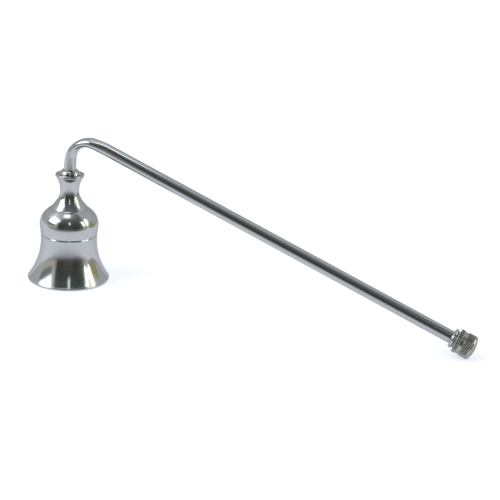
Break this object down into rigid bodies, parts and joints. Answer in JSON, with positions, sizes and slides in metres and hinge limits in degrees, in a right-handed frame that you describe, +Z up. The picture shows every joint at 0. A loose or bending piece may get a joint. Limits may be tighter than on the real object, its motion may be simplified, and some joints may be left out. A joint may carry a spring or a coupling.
{
  "type": "candle snuffer",
  "caption": "Chrome candle snuffer: a flared bell on a turned neck, a long bent tube as its handle, and a knurled end knob that unscrews.",
  "frame": {"origin": "middle of the whole object's footprint, on the table that the lip and the knob rest on", "axes": "+Z up along the bell's axis, +X along the handle from the bell to the knob, XZ is the plane of symmetry"},
  "size_m": [0.2278, 0.0406, 0.0739],
  "materials": {
    "bell_chrome": "mirror polished",
    "neck_chrome": "mirror polished",
    "tube_chrome": "mirror polished",
    "ring_chrome": "mirror polished",
    "knob_chrome": "polished over the knurl",
    "bright_steel": "bright turned steel"
  },
  "bodies": {
    "snuffer": {"bell_skirt": "bell_chrome", "bell_dome": "bell_chrome", "neck_finial": "neck_chrome", "arm_tube": "tube_chrome", "bell_stud": "bright_steel", "crown_washer": "bright_steel", "crown_nut": "bright_steel", "knob_stud": "bright_steel"},
    "ring": {"bead_ring": "ring_chrome"},
    "knob": {"knurled_knob": "knob_chrome"}
  },
  "joints": [
    {"name": "knob_travel", "type": "slide", "parent": "snuffer", "child": "ring", "axis": [0.9453, 0, -0.3263], "range_m": [0, 0.0056]},
    {"name": "knob_turn", "type": "hinge", "parent": "ring", "child": "knob", "pos_m": [0.10204, 0, 0.00863], "axis": [0.9453, 0, -0.3263], "range_deg": [0, 2880]}
  ],
  "couplings": [
    {"joint": "knob_travel", "follows": "knob_turn", "m_per_rad": 0.00011141}
  ]
}
